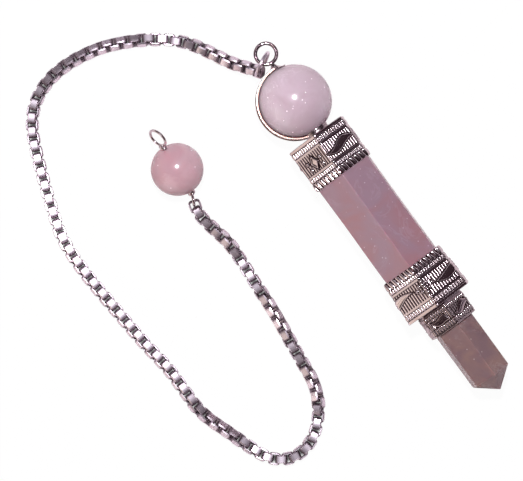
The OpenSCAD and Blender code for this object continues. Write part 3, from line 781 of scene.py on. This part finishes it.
def makeTipCrystal():
    # six-sided bar, then its width falls evenly to a six-faced point with a blunt end
    bar = np.linspace(stones["tipFrom"], stones["shoulder"] - stones["shoulderSoft"], 60)
    cone = np.linspace(*stones["coneShare"], 30)
    z = np.concatenate((bar, stones["shoulder"] + cone * stones["point"]))[:, None]
    af = stones["tipAf"] * np.concatenate((np.ones(60), 1 - cone))[:, None]
    edge = np.minimum(stones["edge"], af / 5)
    points = groundFaces(300, z, af, edge, *stones["tipRipple"])
    points = points @ turn("z", pendulum["tipTurn"]).T + np.array((0, -pendulum["tipOffset"], 0))
    makePiece("tipCrystal", [closedSurface(onAxis(points))], tipQuartz,
              ["tip_crystal"], crease=50)


makeBall()
makeMainCrystal()
makeTipCrystal()

beadPin = {"bead": (-16.6, 15.0), "beadRadius": 5.0, "bore": 0.9, "heading": -58.6, "drop": 26.0,
           "wire": 0.5, "wraps": 2, "gap": 0.05, "eyeRadius": 1.8, "eyeTurn": 58.0,
           "eyeAt": 7.6, "footRadius": 1.0, "footHeading": -80.0, "footAt": (-13.6, 9.2, 2.125),
           "wrapTaper": 0.25, "wrapSwell": 1.02}


def onBead(points):
    # from the pin's own axis to the bead where it lies, turned to its heading and dropped
    way = turn("z", beadPin["heading"]) @ turn("y", 90 + beadPin["drop"])
    return points @ way.T + np.array((*beadPin["bead"], beadPin["beadRadius"]))


def makeBead():
    # drilled sphere: the round profile turns in at a softened mouth and runs through the bore
    r, bore = beadPin["beadRadius"], beadPin["bore"] / 2
    mouth = math.asin((bore + 0.12) / r)
    angle = np.linspace(mouth, np.pi - mouth, 90)
    outside = np.stack((r * np.sin(angle), -r * np.cos(angle)), axis=-1)
    deep = math.sqrt(r ** 2 - bore ** 2) - 0.15
    inside = np.stack((np.full(8, bore), np.linspace(deep, -deep, 8)), axis=-1)
    points = revolved(np.concatenate((outside, inside)), 160)
    makePiece("drilledBead", [closedSurface(onBead(points), ring=True)], beadQuartz,
              ["bead"], crease=60)


def makeBeadPin():
    # straight shaft, two wraps wound as a helix against each side of the bead, a round eye
    # above, and a bent foot with its small ring that holds the chain
    gauge, r = beadPin["wire"], beadPin["wire"] / 2
    wrapAt = beadPin["beadRadius"] + beadPin["gap"] + r
    bendAt = beadPin["beadRadius"] + beadPin["wraps"] * gauge + beadPin["gap"]
    up = np.array((0, 0, 1.0))
    side = np.array((1.0, 0.2, 0))
    parts = []
    low, high = -beadPin["eyeAt"] + beadPin["eyeRadius"], bendAt
    places, thick = roundEnds(high - low, r)
    shaft = np.stack((0 * places, 0 * places, low + places), axis=-1)
    parts.append(closedSurface(onBead(wireAlong(shaft, thick, side))))
    for end in (-1, 1):
        angle = np.linspace(0, 2 * np.pi * beadPin["wraps"], 96)
        taper = beadPin["wrapTaper"]
        swell = np.clip(np.minimum(angle, angle[-1] - angle) / taper + taper, 0, 1)
        z = end * (wrapAt + (angle / (2 * np.pi) - 0.5) * gauge)
        z = end * np.clip(np.abs(z), wrapAt, wrapAt + (beadPin["wraps"] - 1) * gauge)
        helix = np.stack((gauge * np.cos(angle), gauge * np.sin(angle), z), axis=-1)
        parts.append(closedSurface(onBead(wireAlong(helix, r * swell * beadPin["wrapSwell"], up))))
    eye = ringWire(beadPin["eyeRadius"], gauge) @ turn("y", 90).T @ turn("z", beadPin["eyeTurn"]).T
    parts.append(closedSurface(onBead(eye - np.array((0, 0, beadPin["eyeAt"]))), ring=True))
    start = onBead(np.array(((0, 0, bendAt),)))[0]
    foot = np.array(beadPin["footAt"])
    way = foot - start
    reach = np.linalg.norm(way) - beadPin["footRadius"]
    places, thick = roundEnds(reach + 2 * r, r)
    rod = start + (places[:, None] - r) * way / np.linalg.norm(way)
    parts.append(closedSurface(wireAlong(rod, thick, np.array((0.3, 1.0, 0.1)))))
    ring = ringWire(beadPin["footRadius"], gauge, count=64) @ turn("x", 90).T
    ring = ring @ turn("z", beadPin["footHeading"]).T + foot
    parts.append(closedSurface(ring, ring=True))
    makePiece("beadPin", parts, castMetal, ["bead_pin"])


makeBead()
makeBeadPin()
print("made the bead and its pin")

chain = {"links": 149, "width": 2.35, "strip": 1.1, "thick": 0.33, "play": 0.25, "hang": 0.22,
         "shownStrip": 1.48, "longer": 0.12, "bend": 0.62, "bevel": 0.17, "curveSteps": 8,
         "hookEndPaintedShade": 1.5, "innerEdgePaintedShade": (0.6, 0.1, 0, 0, 0.1, 0.6)}
# chosen points of the laid chain: x, y, lift off the surface, roll about its own line
chainRoute = (
    (-13.6, 9.2, 0.95, 0), (-13.1, 7.7, 0.62, 4), (-12, 6, 0.27, 10), (-10, 4, 0.05, 20),
    (-6.8, 1, 0, 28), (-4.2, -2.7, 0, 5), (-1.4, -7.2, 0, 10), (1.2, -11.2, 0, 40),
    (3.3, -14.8, 0, 40), (5.3, -18.4, 0, 12), (7.3, -21.9, 0, 20), (8.8, -24.5, 0, 40),
    (9.7, -26.8, 0, 45), (10.2, -29.2, 0, 30), (10.2, -31.8, 0, 10), (9.7, -34.5, 0, 0),
    (8.6, -36.9, 0, -5), (6.9, -38.8, 0, -5), (4.8, -39.9, 0, -5), (2.4, -40.1, 0, 0),
    (0, -39.5, 0, 5), (-3.3, -37.5, 0, 20), (-6.9, -35, 0, 42), (-10.4, -32.6, 0, 42),
    (-12.9, -30.3, 0, 25), (-15.3, -27.1, 0, 15), (-18.4, -22.9, 0, 15), (-22.9, -18.1, 0, 15),
    (-28.4, -11.7, 0, 15), (-34.2, -4.7, 0, 14), (-38.4, 1.7, 0, 8), (-40.7, 8.1, 0, 3),
    (-42.4, 14.1, 0, 0), (-43.7, 19.3, 0, -3), (-44.3, 23.3, 0, -5), (-44, 26.6, 0, -8),
    (-42.9, 29.5, 0, -15), (-41, 32.2, 0, -22), (-38.3, 34.6, 0, -28), (-35, 36.6, 0, -32),
    (-31, 38.3, 0, -38), (-26.6, 39.3, 0, -38), (-21.9, 39.8, 0, -15), (-17.4, 39.7, 0, 5),
    (-13.4, 38.7, 0, 25), (-9.7, 37, 0.1, 34), (-6.2, 35.3, 0.6, 36), (-3, 34.3, 1.45, 36),
    (-0.4, 33.4, 2.4, 36))


def smoothRoute():
    # cubic through the points with each point's slope from its neighbours, in short steps;
    # a link lies on the surface by the lowest corner of its rolled section
    route = np.array(chainRoute, float)
    padded = np.concatenate((route[:1], route, route[-1:]))
    a, b, c, d = (padded[i:len(padded) - 3 + i, None] for i in range(4))
    t = (np.arange(chain["curveSteps"]) / chain["curveSteps"])[None, :, None]
    curve = 0.5 * (2 * b + (c - a) * t + (2 * a - 5 * b + 4 * c - d) * t ** 2
                   + (3 * b - a - 3 * c + d) * t ** 3)
    fine = np.concatenate((curve.reshape(-1, 4), route[-1:]))
    c, s = np.abs(np.cos(np.radians(fine[:, 3]))), np.abs(np.sin(np.radians(fine[:, 3])))
    w, h = chain["width"] / 2, chain["strip"] / 2
    rest = np.maximum(w * c + h * s, w * s + h * c)
    fine[:, 2] = np.maximum(fine[:, 2], 0) + rest
    along = np.concatenate(((0,), np.cumsum(np.linalg.norm(np.diff(fine[:, :3], axis=0), axis=1))))
    return fine, along


def linkForm(length):
    # one link: a rounded square loop of strip, four quarter bends with straight runs between them, and a
    # section with softened outer edges; painted shade darkens it towards the two ends that hook into the
    # next links and along the inner edges of the loop
    corner = np.repeat(np.array(((1, 1), (-1, 1), (-1, -1), (1, -1))), 4, axis=0)
    angle = np.radians(np.tile(np.linspace(0, 90, 4), 4) + np.repeat(np.arange(4) * 90, 4))
    half, t, b = chain["shownStrip"] / 2, chain["thick"], chain["bevel"]
    section = np.array(((-half, t), (-half, b), (-half + b, 0),
                        (half - b, 0), (half, b), (half, t)))
    bend = chain["bend"] - section[:, 1]
    x = corner[:, :1] * (length / 2 - chain["bend"]) + np.cos(angle)[:, None] * bend
    y = corner[:, 1:] * (chain["width"] / 2 - chain["bend"]) + np.sin(angle)[:, None] * bend
    # painted shade: the recess value rises towards the hooked ends and at the inner edges, where the next
    # link shades it
    low = np.abs(np.cos(angle))[:, None] * chain["hookEndPaintedShade"] + np.array(chain["innerEdgePaintedShade"])
    return np.stack((x, y, section[:, 0] + 0 * x), axis=-1), low


def makeChain():
    # every link is the same loop turned along the route, each a quarter turn from the last
    fine, along = smoothRoute()
    pitch = (along[-1] - chain["hang"] - chain["thick"] - chain["play"]) / chain["links"]
    length = pitch + 2 * chain["thick"] + chain["play"] + chain["longer"]
    first = chain["hang"] + (chain["thick"] + chain["play"]) / 2
    joints = first + np.arange(chain["links"] + 1) * pitch
    ends = np.stack([np.interp(joints, along, fine[:, i]) for i in range(3)], axis=-1)
    number = np.arange(chain["links"])
    roll = np.interp(joints[:-1] + pitch / 2, along, fine[:, 3]) + 90 * (number % 2)
    way = unit(np.diff(ends, axis=0))
    level = unit(np.cross((0, 0, 1.0), way))
    above = np.cross(way, level)
    c, s = np.cos(np.radians(roll))[:, None], np.sin(np.radians(roll))[:, None]
    frames = np.stack((way, c * level + s * above, c * above - s * level), axis=1)
    form, low = linkForm(length)
    placed = np.einsum("uvi,nij->nuvj", form, frames) + ((ends[:-1] + ends[1:]) / 2)[:, None, None]
    parts = [closedSurface(link, ring=True, recess=low) for link in placed]
    makePiece("chainLinks", parts, chainMetal, ["chain"], crease=20)


makeChain()
print("made the chain")

# the nook values paint shade into the floor: how far the occlusion looks, where it fades in, and the glow
# left in a nook
studio = {"floorSize": 3.0, "floorAt": -0.00003, "floorWhite": 0.97, "floorShade": 0.03,
          "floorTint": (0.66, 0.60, 0.60, 1),
          "nookReach": 0.0025, "nookFades": (0.12, 0.40), "nookPaintedShade": 0.10}


def makeFloor():
    # pale sheet: the camera sees it nearly white with a faint shadow, and darkened by painted shade in
    # the narrow nooks under the piece, where ambient occlusion dims its white glow; the metal sees it
    # grey
    half = studio["floorSize"] / 2
    mesh = bpy.data.meshes.new("floor")
    corners = [(-half, -half, 0), (half, -half, 0), (half, half, 0), (-half, half, 0)]
    mesh.from_pydata(corners, [], [(0, 1, 2, 3)])
    floor = bpy.data.objects.new("floor", mesh)
    floor.location.z = studio["floorAt"]
    scene.collection.objects.link(floor)
    material = bpy.data.materials.new("paleSheet")
    material.use_nodes = True
    tree = material.node_tree
    out = next(n for n in tree.nodes if n.type == "OUTPUT_MATERIAL")
    tree.nodes.remove(next(n for n in tree.nodes if n.type == "BSDF_PRINCIPLED"))
    white, pale, grey = (addNode(tree, kind) for kind in
                         ("Emission", "BsdfDiffuse", "BsdfDiffuse"))
    shade = studio["floorShade"]
    # painted shade: ambient occlusion cuts the floor's white glow down in narrow nooks under the piece
    nook = addNode(tree, "AmbientOcclusion")
    wire(tree, nook, Distance=studio["nookReach"])
    lit = rangeNode(tree, nook.outputs["AO"], *studio["nookFades"], studio["nookPaintedShade"],
                    studio["floorWhite"])
    wire(tree, white, Color=(1, 1, 1, 1), Strength=lit)
    wire(tree, pale, Color=(shade, shade, shade, 1))
    wire(tree, grey, Color=studio["floorTint"])
    seen = feedAll(tree, addNode(tree, "AddShader"), white.outputs[0], pale.outputs[0])
    direct = addNode(tree, "LightPath").outputs["Is Camera Ray"]
    mix = feedAll(tree, addNode(tree, "MixShader"), direct, grey.outputs[0], seen)
    wire(tree, out, Surface=mix)
    mesh.materials.append(material)


lights = {
    # place in metres, size, watts, colour
    "flash": ((-0.010, 0.130, 0.560), 0.035, 3.4, (0.99, 0.95, 1.0)),
    "warmCard": ((-0.300, -0.220, 0.170), 0.30, 0.14, (1.0, 0.82, 0.68)),
}

# the way into the room: by its height from pale to dark, by its side from dim to pale
room = {"paleTo": 0.10, "darkFrom": 0.50, "pale": (0.94, 0.82, 0.75), "dark": (0.030, 0.014, 0.020),
        "dim": (0.78, 0.68, 0.78), "paleSide": -135.0, "sideFades": (-0.3, 0.5), "dimLower": 0.22}


def makeRoom():
    # dark overhead; round the horizon pale on one side and dim on the other
    world = bpy.data.worlds.new("room")
    world.use_nodes = True
    tree = world.node_tree
    back = next(n for n in tree.nodes if n.type == "BACKGROUND")
    way = addNode(tree, "SeparateXYZ")
    wire(tree, way, Vector=addNode(tree, "TexCoord").outputs["Generated"])
    side = math.radians(room["paleSide"])
    toward = mathNode(tree, "ADD", mathNode(tree, "MULTIPLY", way.outputs["X"], math.cos(side)),
                      mathNode(tree, "MULTIPLY", way.outputs["Y"], math.sin(side)))
    pale = rangeNode(tree, toward, *room["sideFades"])
    horizon = mixColour(tree, pale, room["dim"], room["pale"])
    shift = rangeNode(tree, pale, 0.0, 1.0, room["dimLower"], 0.0)
    high = mathNode(tree, "ADD", way.outputs["Z"], shift)
    high = rangeNode(tree, high, room["paleTo"], room["darkFrom"])
    wire(tree, back, Color=mixColour(tree, high, horizon, room["dark"]), Strength=1.0)
    scene.world = world


def makeLights():
    for name, (place, size, power, colour) in lights.items():
        data = bpy.data.lights.new(name, "AREA")
        data.shape, data.size, data.energy, data.color = "DISK", size, power, colour
        lamp = bpy.data.objects.new(name, data)
        lamp.location = place
        lamp.rotation_euler = (-Vector(place)).to_track_quat("-Z", "Y").to_euler()
        lamp.visible_camera = False
        scene.collection.objects.link(lamp)
    makeRoom()
    scene.view_settings.view_transform = "Standard"


camera = {"place": (-0.00063, 0.00155, 0.600), "sensor": 36.0, "lens": 216.3}


def makeCamera():
    data = bpy.data.cameras.new("camera")
    data.sensor_width, data.lens = camera["sensor"], camera["lens"]
    data.clip_start, data.clip_end = 0.01, 10.0
    eye = bpy.data.objects.new("camera", data)
    eye.location = camera["place"]
    scene.collection.objects.link(eye)
    scene.camera = eye


makeFloor()
makeLights()
makeCamera()
print("made the floor, the lights and the camera")
